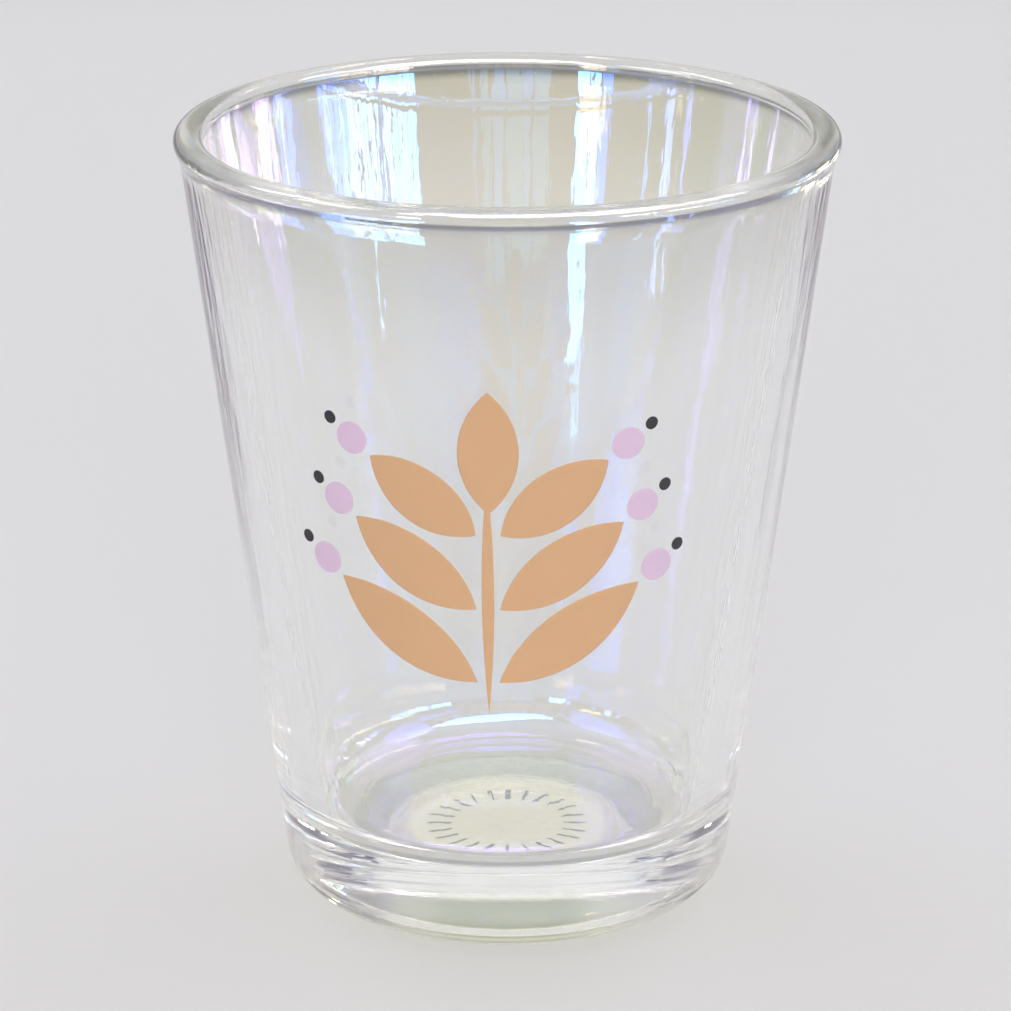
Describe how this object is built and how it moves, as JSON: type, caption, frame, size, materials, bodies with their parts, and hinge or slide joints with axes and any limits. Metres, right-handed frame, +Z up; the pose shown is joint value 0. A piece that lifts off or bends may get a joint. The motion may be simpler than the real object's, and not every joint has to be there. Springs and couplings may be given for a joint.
{
  "type": "shot glass",
  "caption": "Clear tapered shot glass with a thick base, a rounded rim, a lustre coat and a printed leaf sprig with berries on its front.",
  "frame": {"origin": "middle of the foot, on the surface that the glass stands on", "axes": "+Z up along the glass's axis towards its mouth; the print faces -Y"},
  "size_m": [0.0496, 0.0496, 0.06],
  "materials": {
    "clear_glass": "fire-polished soda-lime glass, faint grey-green in the thick base",
    "lustre": "thin iridescent lustre, blue to lilac in reflection",
    "peach_ink": "satin screen-printed ink",
    "pink_ink": "satin screen-printed ink",
    "black_ink": "satin screen-printed ink",
    "label_film": "clear, slightly frosted film",
    "grey_ink": "matt printed ink"
  },
  "bodies": {
    "root": {"glass_body": "clear_glass", "lustre_coat": "lustre", "leaf_print": "peach_ink", "berry_print": "pink_ink", "speck_print": "black_ink", "base_label": "label_film", "label_print": "grey_ink"}
  },
  "joints": []
}
